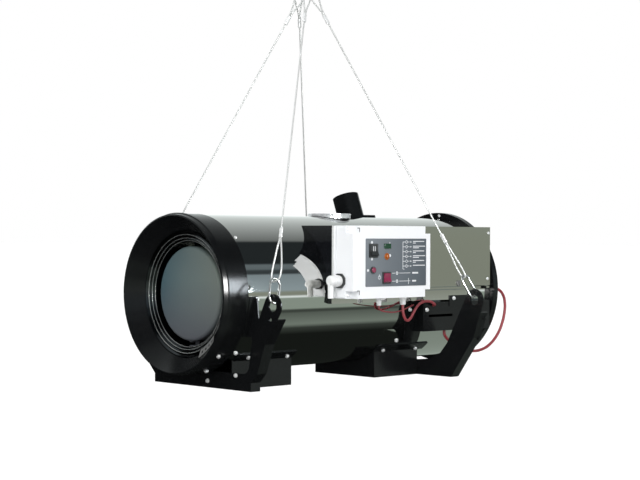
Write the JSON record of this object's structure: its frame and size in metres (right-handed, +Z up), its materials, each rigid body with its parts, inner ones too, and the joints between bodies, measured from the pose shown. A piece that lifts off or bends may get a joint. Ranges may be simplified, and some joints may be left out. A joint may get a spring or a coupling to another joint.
{
  "type": "diesel space heater",
  "caption": "Hanging diesel space heater: a long steel casing with outlet cowl, flue collar, air intake, control box, lead loops, carrying frames and wire ropes to a link.",
  "frame": {"origin": "bearing point inside the top of the hanging link, straight above the casing's axis", "axes": "+X along the casing from the hot air outlet to the fan, +Z up, the control box on the -Y side"},
  "size_m": [1.1943, 0.7978, 1.3115],
  "materials": {
    "mirror_steel": "mirror polished stainless sheet",
    "spun_steel": "bright spun stainless",
    "heat_steel": "dull heat resisting steel",
    "black_paint": "glossy black paint",
    "white_plastic": "smooth white moulding",
    "label_film": "slate printed film",
    "red_plastic": "glossy red moulding",
    "black_plastic": "black moulding",
    "orange_lens": "clear orange lens",
    "green_lens": "clear green lens",
    "light_plastic": "light grey moulding",
    "red_lead": "red silicone sheath",
    "fan_metal": "cast aluminium",
    "burner_metal": "dark casting",
    "zinc": "bright zinc plate",
    "wire_rope": "galvanised strands",
    "ferrule_metal": "pressed aluminium"
  },
  "bodies": {
    "heater": {"air_intake": "black_paint", "box_strap": "black_paint", "burner": "burner_metal", "casing": "mirror_steel", "chamber": "heat_steel", "chamber_supports": "heat_steel", "control_base": "white_plastic", "control_lid": "white_plastic", "fan_guard": "black_paint", "fan_motor": "fan_metal", "flue_collar": "spun_steel", "flue_duct": "spun_steel", "flue_saddle": "black_paint", "front_cowl": "black_paint", "front_foot": "black_paint", "front_frame": "black_paint", "glands": "light_plastic", "hook_body_1": "zinc", "hook_body_2": "zinc", "hook_body_3": "zinc", "hook_body_4": "zinc", "label_plate": "label_film", "lamp_green": "green_lens", "lamp_orange": "orange_lens", "lead_loop": "red_lead", "lead_thin": "red_lead", "lead_v": "red_lead", "lower_box": "black_paint", "main_rocker_frame": "black_plastic", "master_link": "zinc", "mid_box": "black_paint", "outlet_rings": "spun_steel", "rear_frame": "black_paint", "rear_ring": "black_paint", "reset_collar": "black_plastic", "rope_1": "wire_rope", "rope_2": "wire_rope", "rope_3": "wire_rope", "rope_4": "wire_rope", "rope_ferrules": "ferrule_metal", "rope_loops_1": "wire_rope", "rope_loops_2": "wire_rope", "rope_loops_3": "wire_rope", "rope_loops_4": "wire_rope", "select_rocker_frame": "black_plastic", "side_cover": "mirror_steel", "socket_flange": "black_plastic", "socket_plug": "light_plastic"},
    "fan": {"fan_impeller": "fan_metal", "fan_shaft": "fan_metal"},
    "main_switch": {"main_rocker": "red_plastic"},
    "select_switch": {"select_rocker": "black_plastic"},
    "reset": {"reset_button": "red_plastic"},
    "cover_lock": {"cover_lock": "zinc"},
    "gate_1": {"hook_gate_1": "zinc"},
    "gate_2": {"hook_gate_2": "zinc"},
    "gate_3": {"hook_gate_3": "zinc"},
    "gate_4": {"hook_gate_4": "zinc"}
  },
  "joints": [
    {"name": "fan_spin", "type": "hinge", "parent": "heater", "child": "fan", "pos_m": [0.558, 0, -1.0315], "axis": [1, 0, 0], "continuous": true},
    {"name": "main_switch_rock", "type": "hinge", "parent": "heater", "child": "main_switch", "pos_m": [0.029, -0.3188, -0.9865], "axis": [1, 0, 0], "range_deg": [0, 20]},
    {"name": "select_switch_rock", "type": "hinge", "parent": "heater", "child": "select_switch", "pos_m": [-0.026, -0.3188, -0.9075], "axis": [1, 0, 0], "range_deg": [0, 20]},
    {"name": "reset_press", "type": "slide", "parent": "heater", "child": "reset", "axis": [0, 1, 0], "range_m": [0, 0.003], "stiffness_N_per_m": 300},
    {"name": "cover_lock_turn", "type": "hinge", "parent": "heater", "child": "cover_lock", "pos_m": [0.441, -0.239, -1.0115], "axis": [0, 1, 0], "range_deg": [0, 90]},
    {"name": "gate_1_open", "type": "hinge", "parent": "heater", "child": "gate_1", "pos_m": [-0.40592, -0.29332, -1.02118], "axis": [0, 0.9536, -0.3009], "range_deg": [0, 25], "stiffness_Nm_per_rad": 0.05, "springref_deg": -5.73},
    {"name": "gate_2_open", "type": "hinge", "parent": "heater", "child": "gate_2", "pos_m": [-0.40592, 0.29332, -1.02118], "axis": [0, 0.9536, 0.3009], "range_deg": [0, 25], "stiffness_Nm_per_rad": 0.05, "springref_deg": -5.73},
    {"name": "gate_3_open", "type": "hinge", "parent": "heater", "child": "gate_3", "pos_m": [0.37781, -0.35516, -1.02178], "axis": [0, -0.9393, 0.3432], "range_deg": [0, 25], "stiffness_Nm_per_rad": 0.05, "springref_deg": -5.73},
    {"name": "gate_4_open", "type": "hinge", "parent": "heater", "child": "gate_4", "pos_m": [0.37781, 0.35516, -1.02178], "axis": [0, -0.9393, -0.3432], "range_deg": [0, 25], "stiffness_Nm_per_rad": 0.05, "springref_deg": -5.73}
  ]
}
